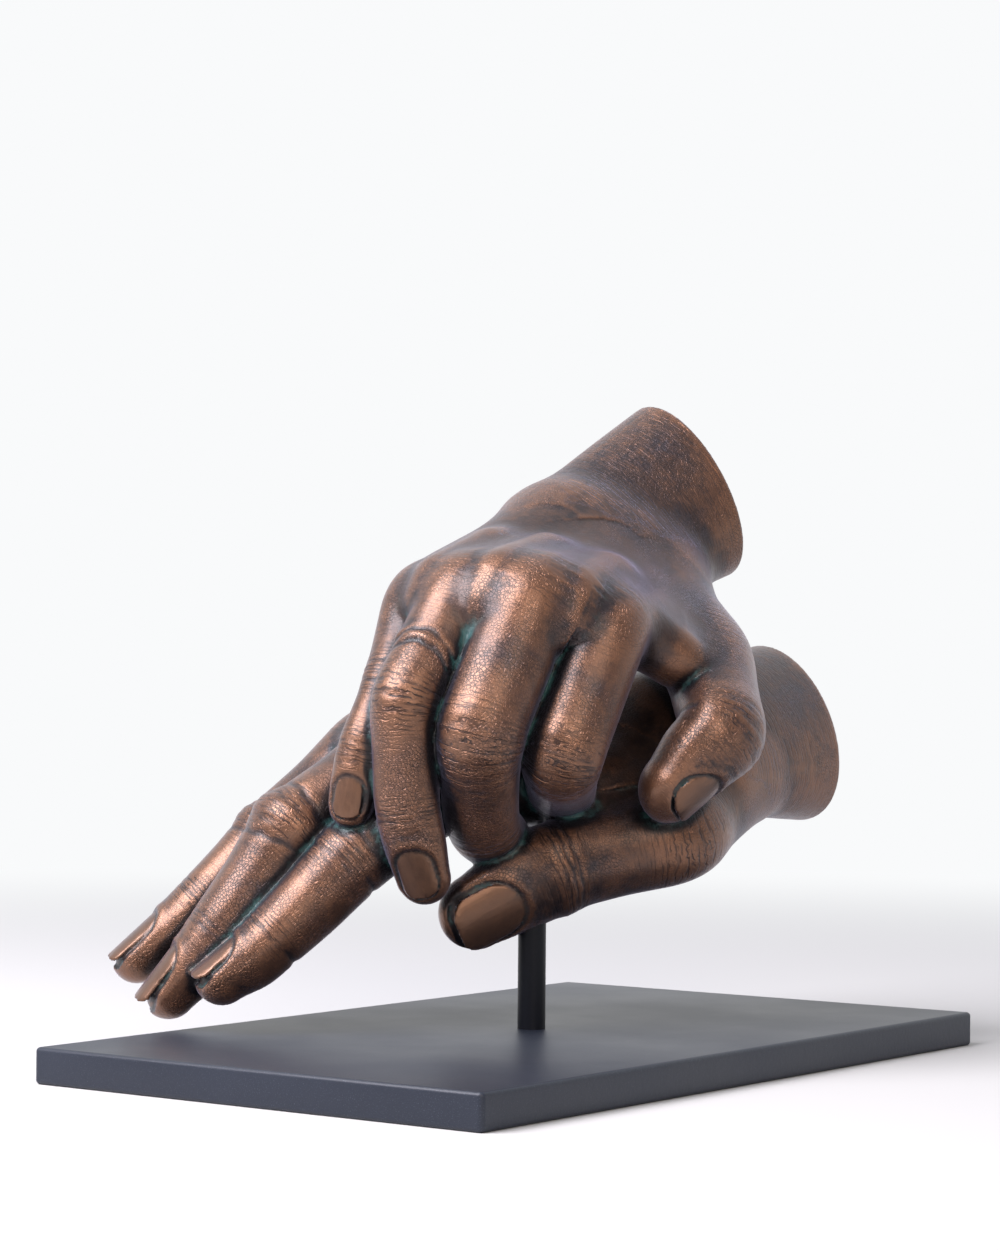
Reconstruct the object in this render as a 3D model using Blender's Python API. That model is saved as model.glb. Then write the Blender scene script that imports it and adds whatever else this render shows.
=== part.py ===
"""Sculpture of two right hands clasping each other, cast in one piece and
carried on a steel rod that stands in a flat steel base plate.

The origin is the middle of the plate's underside. X runs along the plate's
long edge, Y along its short edge and Z up. The file is in metres.
"""
import math

import bmesh
import bpy
import numpy as np
import openvdb

POSE_UNIT = 0.001

# Base plate: a flat bar with softened edges.
PLATE_LENGTH = 0.250
PLATE_WIDTH = 0.150
PLATE_THICKNESS = 0.010
PLATE_EDGE_RADIUS = 0.0012
PLATE_CORNER_RADIUS = 0.0015

# Rod: a round bar let into the plate and into the casting.
ROD_DIAMETER = 0.008
ROD_FREE_LENGTH = 0.0262
ROD_SEAT_DEPTH = 0.007
ROD_SOCKET_DEPTH = 0.018
ROD_CHAMFER = 0.0005
FIT_GAP = 0.0003

# The casting.
HANDS_TURN = math.radians(-53.8)
FINGER_FULLNESS = 1.0
WRIST_BLEND = 0.018
PALM_BLEND = 0.009
FINGER_BLEND = 0.0030
WEB_REACH = 0.022
WEB_DEPTH = 0.009
TOUCH_BLEND = 0.0030
JOINT_ROUNDING = 0.008
FOREARM_HALF_WIDTH = 0.0300
FOREARM_HALF_THICKNESS = 0.0215
SAWN_RIM_ROUNDING = 0.003
ROD_ENTRY = 0.0262
GRID_STEP = 0.0016
CASTING_FACES = 10500

# The two hands' joints, in pose units of a millimetre, seen from the front: x
# to the right, y away and z up, with the rod on the line x = y = 0 and meeting
# the skin at the height ROD_ENTRY. Each ray runs carpus, knuckle, middle joint,
# end joint, fingertip, and the thumb's starts at its base. Then come the half
# widths at those joints and the direction of the ray's thumb side, first at its
# root and then at its tip. The forearm runs from its sawn end to the wrist, and
# saw is the direction that the flat sawn end faces.
UPPER_HAND = {
    "forearm": [(48, 77, 159), (22, 58, 143)],
    "forearm_side": ((0.55, -0.05, -0.83), (0.82, -0.28, -0.48)),
    "saw": (0.76, 0.54, 0.36),
    "index": ([(36, 42, 128), (21, -11, 117), (7.5, -23, 78), (8, 2, 69), (6, 24, 57)],
              (10.2, 12.1, 11.7, 10.4, 7.8), (0.84, -0.28, -0.40), (0.94, -0.23, -0.24)),
    "middle": ([(27, 44, 135), (-0.5, -17, 125), (-16, -29, 84), (-15, -11, 58), (-6, 12, 48)],
               (10.5, 12.4, 12.6, 10.8, 8.2), (0.84, -0.30, -0.35), (0.97, 0.05, -0.15)),
    "ring": ([(16, 46, 141), (-20, -9, 127), (-37, -26, 94), (-36, -24, 63), (-31, -20, 44)],
             (10.0, 10.8, 9.9, 9.4, 7.6), (0.86, -0.38, -0.20), (0.97, -0.22, -0.10)),
    "little": ([(6, 49, 147), (-34.5, 5, 125), (-41, -11, 99), (-49, -17, 80), (-52, -18, 64)],
               (9.5, 9.2, 7.9, 7.6, 6.2), (0.85, -0.50, -0.10), (0.95, -0.28, -0.10)),
    "thumb": ([(40, 56, 131), (53, 25, 107), (54.5, -3, 85), (41, -6, 70)],
              (14.5, 13.6, 13.8, 11.0), (0.45, 0.70, -0.55), (0.34, 0.86, -0.37)),
}
LOWER_HAND = {
    "forearm": [(79, 84, 84), (55, 53, 82)],
    "forearm_side": ((0.25, -0.50, -0.83), (0.36, -0.68, -0.64)),
    "saw": (0.72, 0.69, 0.02),
    "index": ([(47, 35, 70), (-22, 0, 74), (-53, -12, 48), (-74, -18, 27), (-88, -20, 16)],
              (10.5, 12.4, 11.6, 10.2, 8.1), (0.31, -0.78, -0.52), (0.46, -0.88, 0.04)),
    "middle": ([(44, 43, 77), (-40, 13, 79), (-70, -4, 56), (-90, -10, 28), (-104, -10, 11)],
               (10.5, 12.4, 12.3, 10.3, 8.2), (0.33, -0.82, -0.46), (0.40, -0.90, 0.02)),
    "ring": ([(40, 52, 84), (-47, 33, 83), (-78, 16, 53), (-96, 8, 35), (-115, 7, 19)],
             (10.0, 11.4, 10.6, 9.6, 7.7), (0.36, -0.86, -0.38), (0.38, -0.92, 0.02)),
    "little": ([(36, 60, 91), (-44, 51, 83), (-67, 38, 59), (-78, 36, 45), (-86, 36, 34)],
               (9.5, 10.0, 8.7, 7.8, 6.3), (0.38, -0.88, -0.30), (0.38, -0.92, 0.02)),
    "thumb": ([(61, 44, 70), (44, 10, 54.5), (7, 0, 47), (-16, -7, 34)],
              (13.5, 13.4, 13.8, 10.8), (0.35, 0.35, -0.85), (0.29, 0.37, -0.85)),
}


def unit(v):
    """Rows of v scaled to length one."""
    v = np.asarray(v, float)
    return v / np.linalg.norm(v, axis=-1, keepdims=True)


def rounded_path(points, rounding, step):
    """Straight runs between the points with each corner turned into a parabola.

    Returns the samples at even steps, their tangents, their arc length and
    the arc length at which each given point is passed.
    """
    points = np.asarray(points, float)
    pieces = [points[:1]]
    for before, corner, after in zip(points[:-2], points[1:-1], points[2:]):
        into, out = corner - before, after - corner
        reach = min(rounding, 0.42 * np.linalg.norm(into), 0.42 * np.linalg.norm(out))
        start = corner - unit(into) * reach
        end = corner + unit(out) * reach
        t = np.linspace(0.0, 1.0, 9)[:, None]
        pieces.append((1 - t) ** 2 * start + 2 * t * (1 - t) * corner + t ** 2 * end)
    pieces.append(points[-1:])
    line = np.vstack(pieces)
    length = np.concatenate([[0.0], np.cumsum(np.linalg.norm(np.diff(line, axis=0), axis=1))])
    s = np.linspace(0.0, length[-1], int(length[-1] / step) + 2)
    samples = np.stack([np.interp(s, length, line[:, axis]) for axis in range(3)], axis=1)
    tangents = unit(np.gradient(samples, s, axis=0))
    passed = [s[np.argmin(np.linalg.norm(samples - p, axis=1))] for p in points]
    return samples, tangents, s, np.array(passed)


def eased(s, stations, values, spread):
    """Values interpolated between stations and softened over the given spread."""
    raw = np.interp(s, stations, values)
    reach = int(3 * spread / (s[1] - s[0]))
    kernel = np.exp(-0.5 * (np.arange(-reach, reach + 1) * (s[1] - s[0]) / spread) ** 2)
    padded = np.pad(raw, reach, mode="edge")
    return np.convolve(padded, kernel / kernel.sum(), mode="valid")


class Limb:
    """A body swept along a path: at each sample an oval with its own half width
    and half thickness on the back and on the palm side, closed by an oval cap.

    blend is the smoothing distance with its neighbours at each sample. saw is
    a point and a direction: the body ends flat there.
    """

    def __init__(self, points, stations, width, back, palm, blend, side_root, side_tip, nose):
        self.saw = None
        self.path, self.tangent, self.s, passed = rounded_path(points, JOINT_ROUNDING / POSE_UNIT, 1.0)
        at = np.interp(stations, np.arange(len(passed)), passed)
        self.width = eased(self.s, at, width, 2.5)
        self.back = eased(self.s, at, back, 2.5)
        self.palm = eased(self.s, at, palm, 2.5)
        self.blend = np.interp(self.s, [b[0] + passed[b[1]] for b in blend], [b[2] for b in blend])
        share = (self.s / self.s[-1])[:, None]
        side = (1 - share) * np.asarray(side_root, float) + share * np.asarray(side_tip, float)
        side -= (side * self.tangent).sum(1, keepdims=True) * self.tangent
        self.side = unit(side)
        self.normal = np.cross(self.tangent, self.side)
        self.nose = nose
        self.reach = max(self.width.max(), self.back.max(), self.palm.max()) + 12.0

    def measure(self, p):
        """Radial distance to the surface, and the blend, at the points p."""
        near = np.empty(len(p), int)
        square = (self.path ** 2).sum(1)
        for first in range(0, len(p), 60000):
            part = p[first:first + 60000]
            near[first:first + 60000] = np.argmin(square - 2.0 * part @ self.path.T, axis=1)
        q = p - self.path[near]
        along = (q * self.tangent[near]).sum(1)
        past_tip = np.where(near == len(self.s) - 1, np.maximum(along, 0.0), 0.0)
        past_root = np.where(near == 0, np.minimum(along, 0.0), 0.0)
        u = (q * self.side[near]).sum(1)
        v = (q * self.normal[near]).sum(1)
        w = past_tip + past_root
        thick = np.where(v > 0, self.back[near], self.palm[near])
        rho = np.sqrt((u / self.width[near]) ** 2 + (v / thick) ** 2 + (w / self.nose) ** 2)
        size = np.sqrt(u * u + v * v + w * w)
        least = np.minimum(self.width[near], thick)
        distance = np.where(rho > 0.05, size - size / np.maximum(rho, 0.05), -least)
        if self.saw:
            place, facing = self.saw
            beyond, k = (p - place) @ facing, SAWN_RIM_ROUNDING / POSE_UNIT
            rounding = np.maximum(k - np.abs(beyond - distance), 0.0) ** 2 / (4.0 * k)
            distance = np.maximum(distance, beyond) + rounding
        return distance, self.blend[near]


def finger(points, widths, side_root, side_tip):
    """One ray of the hand, from the carpus through the palm to the fingertip."""
    root, knuckle, middle, end, tip = (w * FINGER_FULLNESS for w in widths)
    stations = [0, 0.5, 0.85, 1, 1.5, 2, 2.5, 3, 3.5, 4]
    width = [root, root * 0.95, knuckle * 0.95, knuckle * 1.02, (knuckle + middle) * 0.51,
             middle, (middle + end) * 0.48, end, end * 0.95, tip]
    back = [root * 0.80, root * 0.78, knuckle * 0.82, knuckle * 0.98, middle * 0.90, middle * 0.98,
            end * 0.95, end * 0.88, end * 0.74, tip * 0.76]
    palm = [root * 1.45, root * 1.45, knuckle * 1.3, knuckle * 1.18, middle * 1.05, middle * 0.97,
            end * 1.10, end * 0.98, end * 1.02, tip * 0.98]
    palm_blend, web_reach = PALM_BLEND / POSE_UNIT, WEB_REACH / POSE_UNIT
    blend = [(0.0, 0, WRIST_BLEND / POSE_UNIT), (-web_reach, 1, palm_blend),
             (0.0, 1, palm_blend), (0.55 * web_reach, 1, palm_blend * 0.8),
             (web_reach, 1, FINGER_BLEND / POSE_UNIT)]
    return Limb(points, stations, width, back, palm, blend, side_root, side_tip, tip * 1.0)


def thumb(points, widths, side_root, side_tip):
    """The thumb with the ball of the hand round its first bone."""
    root, knuckle, end, tip = (w * FINGER_FULLNESS for w in widths)
    stations = [0, 0.5, 1, 1.5, 2, 2.5, 3]
    width = [root, root * 1.0, knuckle, (knuckle + end) * 0.475, end, end * 0.98, tip]
    back = [root * 0.8, root * 0.72, knuckle * 0.92, end * 0.88, end * 0.92, end * 0.72, tip * 0.72]
    palm = [root * 1.0, root * 1.15, knuckle * 1.1, end * 0.98, end * 0.86, end * 0.92, tip * 0.92]
    palm_blend, web_reach = PALM_BLEND / POSE_UNIT, WEB_REACH / POSE_UNIT
    blend = [(0.0, 1, palm_blend), (0.5 * web_reach, 1, palm_blend * 0.8),
             (1.1 * web_reach, 1, FINGER_BLEND / POSE_UNIT)]
    return Limb(points, stations, width, back, palm, blend, side_root, side_tip, tip * 1.05)


def plain(points, width, back, palm, side_root, side_tip):
    """A limb whose size changes evenly from its first point to its last."""
    ends = [0, len(points) - 1]
    blend = [(0.0, 0, PALM_BLEND / POSE_UNIT)]
    return Limb(points, ends, width, back, palm, blend, side_root, side_tip, min(back))


def hand(pose):
    """All the limbs of one hand."""
    cut, wrist = (np.array(p, float) for p in pose["forearm"])
    side = np.array(pose["forearm_side"], float)
    beyond = cut + unit(cut - wrist) * 14.0
    wide, deep = FOREARM_HALF_WIDTH / POSE_UNIT, FOREARM_HALF_THICKNESS / POSE_UNIT
    into = wrist + unit(wrist - cut) * 16.0
    limbs = [plain([beyond, cut, wrist, into], (wide * 1.03, wide * 0.84),
                   (deep * 1.04, deep * 0.74), (deep * 1.04, deep * 0.74), *side)]
    limbs[0].saw = cut, unit(pose["saw"])
    limbs[0].blend = np.full(len(limbs[0].s), WRIST_BLEND / POSE_UNIT)
    limbs += [finger(*pose[name]) for name in ("index", "middle", "ring", "little")]
    limbs.append(thumb(*pose["thumb"]))
    joints = {name: np.array(pose[name][0], float) for name in ("index", "little", "thumb")}
    base, knuckle = joints["index"][0], joints["index"][1]
    ball, thumb_knuckle = joints["thumb"][0], joints["thumb"][1]
    web_end = 0.60 * thumb_knuckle + 0.40 * knuckle
    web_end += 7.0 * unit(joints["thumb"][2] - thumb_knuckle)
    web_side = unit(knuckle - thumb_knuckle)
    limbs.append(plain([0.5 * (base + ball), web_end], (9.0, 14.0), (11.0, 6.5), (11.0, 6.5),
                       web_side, web_side))
    heel, edge = joints["little"][0], joints["little"][1]
    down = np.cross(unit(edge - heel), unit(pose["little"][2]))
    start = heel - 6.0 * down + 0.05 * (edge - heel)
    limbs.append(plain([start, heel + 0.72 * (edge - heel) - 7.0 * down],
                       (13.5, 11.0), (13.0, 10.0), (13.0, 10.0), pose["little"][2], pose["little"][2]))
    for one, other in (("index", "middle"), ("middle", "ring"), ("ring", "little")):
        rays = [np.array(pose[name][0][:3], float) for name in (one, other)]
        base, knuckle, joint = 0.5 * (rays[0] + rays[1])
        across = rays[0][1] - rays[1][1]
        thick = 0.5 * (pose[one][1][1] + pose[other][1][1])
        web = knuckle + WEB_DEPTH / POSE_UNIT * unit(joint - knuckle)
        limbs.append(plain([knuckle + 0.4 * (base - knuckle), knuckle, web],
                           (thick * 0.55, thick * 0.5), (thick * 0.78, thick * 0.74),
                           (thick * 1.0, thick * 0.8), across, across))
    return limbs


def union(limbs, p, start):
    """Smoothed union of the limbs' distances at the points p."""
    total = np.full(len(p), 40.0)
    soft = np.full(len(p), start)
    for limb in limbs:
        low = limb.path.min(0) - limb.reach
        high = limb.path.max(0) + limb.reach
        inside = np.flatnonzero(((p > low) & (p < high)).all(1))
        distance, blend = limb.measure(p[inside])
        before = total[inside]
        k = np.maximum(np.minimum(soft[inside], blend), 0.05)
        dip = np.maximum(k - np.abs(before - distance), 0.0) ** 2 / (4.0 * k)
        soft[inside] = np.where(distance < before, blend, soft[inside])
        total[inside] = np.minimum(before, distance) - dip
    return total


def casting_mesh():
    """Closed skin of both hands, in millimetres in the hands' own frame."""
    pair = [hand(UPPER_HAND), hand(LOWER_HAND)]
    limbs = pair[0] + pair[1]
    low = np.min([limb.path.min(0) - limb.reach for limb in limbs], axis=0)
    high = np.max([limb.path.max(0) + limb.reach for limb in limbs], axis=0)
    step = GRID_STEP / POSE_UNIT
    count = np.ceil((high - low) / step).astype(int) + 1
    field = np.full(count, 40.0)
    ij = np.stack(np.meshgrid(np.arange(count[0]), np.arange(count[1]), indexing="ij"), -1).reshape(-1, 2)
    for k in range(count[2]):
        p = low + step * np.column_stack([ij, np.full(len(ij), k)])
        upper = union(pair[0], p, WRIST_BLEND / POSE_UNIT)
        lower = union(pair[1], p, WRIST_BLEND / POSE_UNIT)
        touch = TOUCH_BLEND / POSE_UNIT
        dip = np.maximum(touch - np.abs(upper - lower), 0.0) ** 2 / (4.0 * touch)
        field[:, :, k] = (np.minimum(upper, lower) - dip).reshape(count[0], count[1])
    grid = openvdb.FloatGrid(20.0)
    grid.copyFromArray(np.clip(field, -20.0, 20.0).astype(np.float32))
    points, quads = grid.convertToQuads(0.0)
    return low + step * points, quads


def material(name, color, metallic, roughness):
    """A Principled material."""
    made = bpy.data.materials.new(name)
    made.use_nodes = True
    shader = made.node_tree.nodes["Principled BSDF"]
    shader.inputs["Base Color"].default_value = (*color, 1.0)
    shader.inputs["Metallic"].default_value = metallic
    shader.inputs["Roughness"].default_value = roughness
    made.diffuse_color = (*color, 1.0)
    return made


def add_object(name, mesh, made):
    """An object with its mesh and material in the scene's collection."""
    thing = bpy.data.objects.new(name, mesh)
    bpy.context.scene.collection.objects.link(thing)
    if made:
        mesh.materials.append(made)
    return thing


def hide_cutter(thing):
    """A cutting body shows as wires only."""
    thing.hide_render = True
    thing.display_type = "WIRE"


def rod_mesh(name, radius, bottom, top, chamfer, sides):
    """A round bar along Z with both ends chamfered."""
    profile = [(0.0, bottom), (radius - chamfer, bottom), (radius, bottom + chamfer),
               (radius, top - chamfer), (radius - chamfer, top), (0.0, top)]
    bm = bmesh.new()
    rings = []
    for r, z in profile[1:-1]:
        angle = [2 * math.pi * i / sides for i in range(sides)]
        rings.append([bm.verts.new((r * math.cos(a), r * math.sin(a), z)) for a in angle])
    for ring, above in zip(rings[:-1], rings[1:]):
        for i in range(sides):
            j = (i + 1) % sides
            bm.faces.new((ring[i], ring[j], above[j], above[i]))
    bm.faces.new(list(reversed(rings[0])))
    bm.faces.new(rings[-1])
    mesh = bpy.data.meshes.new(name)
    bm.to_mesh(mesh)
    bm.free()
    return mesh


def subtract(target, cutter):
    """A live Boolean difference."""
    hide_cutter(cutter)
    cut = target.modifiers.new(cutter.name, "BOOLEAN")
    cut.operation = "DIFFERENCE"
    cut.solver = "EXACT"
    cut.object = cutter


for old in list(bpy.data.objects):
    bpy.data.objects.remove(old, do_unlink=True)

patina_bronze = material("patinated_cast_bronze", (0.13, 0.075, 0.05), 0.85, 0.42)
powder_coat_plate = material("anthracite_powder_coat_plate", (0.045, 0.055, 0.075), 0.1, 0.5)
powder_coat_rod = material("anthracite_powder_coat_rod", (0.030, 0.035, 0.050), 0.1, 0.45)

# Base plate: upright corners and both rims softened, and a blind seat for the rod.
bm = bmesh.new()
bmesh.ops.create_cube(bm, size=1.0)
bmesh.ops.scale(bm, vec=(PLATE_LENGTH, PLATE_WIDTH, PLATE_THICKNESS), verts=bm.verts)
bmesh.ops.translate(bm, vec=(0.0, 0.0, PLATE_THICKNESS / 2), verts=bm.verts)
upright = [e for e in bm.edges if abs(e.verts[0].co.z - e.verts[1].co.z) > PLATE_THICKNESS / 2]
bmesh.ops.bevel(bm, geom=upright, offset=PLATE_CORNER_RADIUS, segments=3, profile=0.5, affect="EDGES")
rims = [e for e in bm.edges if abs(e.verts[0].co.z - e.verts[1].co.z) < 1e-7]
bmesh.ops.bevel(bm, geom=rims, offset=PLATE_EDGE_RADIUS, segments=3, profile=0.5, affect="EDGES")
plate_mesh = bpy.data.meshes.new("base_plate")
bm.to_mesh(plate_mesh)
bm.free()
plate = add_object("base_plate", plate_mesh, powder_coat_plate)
seat = add_object("rod_seat_cutter", rod_mesh(
    "rod_seat_cutter", ROD_DIAMETER / 2 + FIT_GAP, PLATE_THICKNESS - ROD_SEAT_DEPTH - FIT_GAP,
    PLATE_THICKNESS + ROD_FREE_LENGTH / 3, ROD_CHAMFER, 48), None)
subtract(plate, seat)

# Rod: stands in the plate's seat and ends in the casting's socket.
rod_bottom = PLATE_THICKNESS - ROD_SEAT_DEPTH
rod_top = PLATE_THICKNESS + ROD_FREE_LENGTH + ROD_SOCKET_DEPTH
rod = add_object("stand_rod", rod_mesh(
    "stand_rod", ROD_DIAMETER / 2, rod_bottom, rod_top, ROD_CHAMFER, 48), powder_coat_rod)
for polygon in rod.data.polygons:
    polygon.use_smooth = abs(polygon.normal.z) < 0.9
rod.data.set_sharp_from_angle(angle=math.radians(30))

# Casting: the skin of both hands, thinned to flat facets, turned on the rod and
# drilled for it.
points, quads = casting_mesh()
turn = np.array([[math.cos(HANDS_TURN), math.sin(HANDS_TURN), 0.0],
                 [-math.sin(HANDS_TURN), math.cos(HANDS_TURN), 0.0], [0.0, 0.0, 1.0]])
placed = points @ turn * POSE_UNIT
placed[:, 2] += PLATE_THICKNESS + ROD_FREE_LENGTH - ROD_ENTRY
skin = bpy.data.meshes.new("cast_hands")
skin.from_pydata(placed.tolist(), [], [q[::-1] for q in quads.tolist()])
skin.update()
hands = add_object("cast_hands", skin, patina_bronze)
thin = hands.modifiers.new("thin", "DECIMATE")
thin.decimate_type = "COLLAPSE"
thin.ratio = min(1.0, CASTING_FACES / (2.0 * len(quads)))
socket = add_object("rod_socket_cutter", rod_mesh(
    "rod_socket_cutter", ROD_DIAMETER / 2 + FIT_GAP, PLATE_THICKNESS + ROD_FREE_LENGTH / 3,
    rod_top + FIT_GAP, ROD_CHAMFER, 48), None)
subtract(hands, socket)
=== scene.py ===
import math

import bpy
import numpy as np
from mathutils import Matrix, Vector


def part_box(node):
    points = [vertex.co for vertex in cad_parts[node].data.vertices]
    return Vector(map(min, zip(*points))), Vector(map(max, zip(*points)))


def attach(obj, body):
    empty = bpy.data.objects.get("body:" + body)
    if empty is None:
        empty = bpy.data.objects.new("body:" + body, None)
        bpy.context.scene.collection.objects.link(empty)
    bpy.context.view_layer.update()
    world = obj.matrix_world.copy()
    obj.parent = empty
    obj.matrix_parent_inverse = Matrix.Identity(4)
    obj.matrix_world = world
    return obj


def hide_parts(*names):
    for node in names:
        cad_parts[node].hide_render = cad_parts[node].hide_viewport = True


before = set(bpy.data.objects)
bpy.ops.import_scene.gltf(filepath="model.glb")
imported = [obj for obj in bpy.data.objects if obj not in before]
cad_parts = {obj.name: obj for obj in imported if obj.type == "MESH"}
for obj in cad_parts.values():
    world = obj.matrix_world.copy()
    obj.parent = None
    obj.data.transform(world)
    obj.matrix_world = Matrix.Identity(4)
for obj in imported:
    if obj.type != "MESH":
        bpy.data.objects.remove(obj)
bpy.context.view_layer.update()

import openvdb
from mathutils import Matrix, Vector

scene = bpy.context.scene
scene.view_settings.view_transform = "Standard"


# Base plate. A steel flat bar, 250 x 150 x 10 mm, with its edges broken by a
# file to about 1.2 mm and finished in a fine-textured anthracite powder coat.
# It lies on its plain underside, and the rod stands in a blind hole in it.

def to_linear(code):
    """The linear colour of an sRGB hex value such as 3d4452.

    Up to 0.04045 a channel is divided by 12.92; above that 0.055 is added, the
    sum is divided by 1.055, and the result is raised to the power 2.4.
    """
    value = np.array([int(code[i:i + 2], 16) for i in (0, 2, 4)]) / 255.0
    line = np.where(value <= 0.04045, value / 12.92, ((value + 0.055) / 1.055) ** 2.4)
    return (*line.tolist(), 1.0)


def add_node(tree, kind, links=(), **settings):
    """Adds a node, sets its properties and sockets, and links its inputs.

    links holds (input name or number, output socket) pairs. A setting whose
    name starts with in_ goes to the input of that name or number.
    """
    node = tree.nodes.new(kind)
    for name, value in settings.items():
        if name.startswith("in_"):
            key = name[3:].replace("_", " ")
            node.inputs[int(key) if key.isdigit() else key].default_value = value
        else:
            setattr(node, name, value)
    for key, source in links:
        tree.links.new(source, node.inputs[key])
    return node


def new_material(name):
    """An empty material with a Principled shader joined to its output."""
    made = bpy.data.materials.new(name)
    made.use_nodes = True
    made.node_tree.nodes.clear()
    shader = add_node(made.node_tree, "ShaderNodeBsdfPrincipled")
    add_node(made.node_tree, "ShaderNodeOutputMaterial", [("Surface", shader.outputs[0])])
    return made, made.node_tree, shader


def grid_mesh(name, rows, smooth_angle=35.0):
    """A closed skin from a stack of rings, each a row of points going round.

    Neighbouring rings are joined by quads and the first and last ring are
    closed by one face each.
    """
    count, round_count = rows.shape[:2]
    i = np.arange(count - 1)[:, None] * round_count
    j = np.arange(round_count)[None, :]
    k = (j + 1) % round_count
    quads = np.stack([i + j, i + k, i + round_count + k, i + round_count + j], -1).reshape(-1, 4)
    faces = [tuple(reversed(range(round_count)))] + quads.tolist()
    faces.append(tuple(range((count - 1) * round_count, count * round_count)))
    mesh = bpy.data.meshes.new(name)
    mesh.from_pydata(rows.reshape(-1, 3).tolist(), [], faces)
    mesh.shade_smooth()
    mesh.set_sharp_from_angle(angle=math.radians(smooth_angle))
    piece = bpy.data.objects.new(name, mesh)
    scene.collection.objects.link(piece)
    return piece


def plate_rings(size, thickness, corner, edge, steps):
    """Rings of a slab with rounded corners and rounded rims.

    Each ring is the rounded rectangle that stands in by an inset: the inset
    follows a quarter circle of the edge radius at the bottom and at the top.
    """
    t = np.linspace(0.0, math.pi / 2, steps)
    inset = edge * (1.0 - np.concatenate([np.sin(t), np.cos(t)]))
    height = np.concatenate([edge * (1.0 - np.cos(t)), thickness - edge * (1.0 - np.sin(t))])
    turn = np.concatenate([np.linspace(q, q + math.pi / 2, 9) for q in np.arange(4) * math.pi / 2])
    centre = np.repeat(np.array([[1, 1], [-1, 1], [-1, -1], [1, -1]]), 9, axis=0)
    half = np.array(size) / 2 - corner
    radius = np.maximum(corner - inset, 0.0002)[:, None]
    shift = np.minimum(corner - inset, 0.0)[:, None]
    x = centre[None, :, 0] * (half[0] + shift) + radius * np.cos(turn)[None, :]
    y = centre[None, :, 1] * (half[1] + shift) + radius * np.sin(turn)[None, :]
    return np.stack([x, y, np.broadcast_to(height[:, None], x.shape)], axis=-1)


plate_low, plate_high = (np.array(corner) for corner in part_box("base_plate"))
plate_size = plate_high - plate_low
plate_corner, plate_edge = 0.0016, 0.0012
base_plate = grid_mesh("plate", plate_rings(plate_size[:2], plate_size[2], plate_corner, plate_edge, 6),
                       50.0)

# Powder coat: polyester powder melted on in an oven. It gives a dull sheen, a
# faint orange peel of about 1 mm and a grain of fine specks below that.
powder_coat, tree, shader = new_material("powder_coat_anthracite")
place = add_node(tree, "ShaderNodeTexCoord").outputs["Object"]
peel = add_node(tree, "ShaderNodeTexNoise", [("Vector", place)], in_Scale=900.0, in_Detail=2.0)
grain = add_node(tree, "ShaderNodeTexNoise", [("Vector", place)], in_Scale=3200.0, in_Detail=1.0)
cloud = add_node(tree, "ShaderNodeTexNoise", [("Vector", place)], in_Scale=22.0, in_Detail=4.0)
tone = add_node(tree, "ShaderNodeMix", [("Factor", cloud.outputs[0])], data_type="RGBA",
                in_6=to_linear("1c212d"), in_7=to_linear("262c39"))
speck = add_node(tree, "ShaderNodeMapRange", [("Value", grain.outputs[0])],
                 in_From_Min=0.62, in_From_Max=0.80, in_To_Min=0.0, in_To_Max=0.35)
coat_color = add_node(tree, "ShaderNodeMix", [("Factor", speck.outputs[0]), (6, tone.outputs[2])],
                      data_type="RGBA", in_7=to_linear("6d7482"))
tree.links.new(coat_color.outputs[2], shader.inputs["Base Color"])
rough = add_node(tree, "ShaderNodeMapRange", [("Value", cloud.outputs[0])],
                 in_From_Min=0.3, in_From_Max=0.7, in_To_Min=0.40, in_To_Max=0.50)
tree.links.new(rough.outputs[0], shader.inputs["Roughness"])
low_relief = add_node(tree, "ShaderNodeBump", [("Height", peel.outputs[0])],
                      in_Strength=0.25, in_Distance=0.0002)
relief = add_node(tree, "ShaderNodeBump", [("Height", grain.outputs[0]),
                                           ("Normal", low_relief.outputs[0])],
                  in_Strength=0.30, in_Distance=0.0001)
tree.links.new(relief.outputs[0], shader.inputs["Normal"])
shader.inputs["Coat Weight"].default_value = 0.12
shader.inputs["Coat Roughness"].default_value = 0.28
shader.inputs["Specular IOR Level"].default_value = 0.38
base_plate.data.materials.append(powder_coat)
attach(base_plate, "root")
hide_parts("base_plate")


# Rod. A steel round bar of 8 mm with both ends chamfered, in the same coat but
# smoother. It stands in the plate's blind hole and ends inside the casting.

def turned_rings(profile, sides):
    """Rings of a turned shape: each (radius, height) carried round the axis."""
    angle = np.linspace(0.0, 2.0 * math.pi, sides, endpoint=False)
    radius = profile[:, :1]
    height = np.broadcast_to(profile[:, 1:], (len(profile), sides))
    return np.stack([radius * np.cos(angle), radius * np.sin(angle), height], axis=-1)


rod_low, rod_high = (np.array(corner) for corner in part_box("stand_rod"))
rod_radius = (rod_high[0] - rod_low[0]) / 2
foot, top, chamfer = rod_low[2], rod_high[2], 0.0005
rod_profile = np.array([(rod_radius - chamfer, foot), (rod_radius, foot + chamfer),
                        (rod_radius, foot + 4 * chamfer), (rod_radius, top - 4 * chamfer),
                        (rod_radius, top - chamfer), (rod_radius - chamfer, top)])
rod = grid_mesh("rod", turned_rings(rod_profile, 96))

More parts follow.
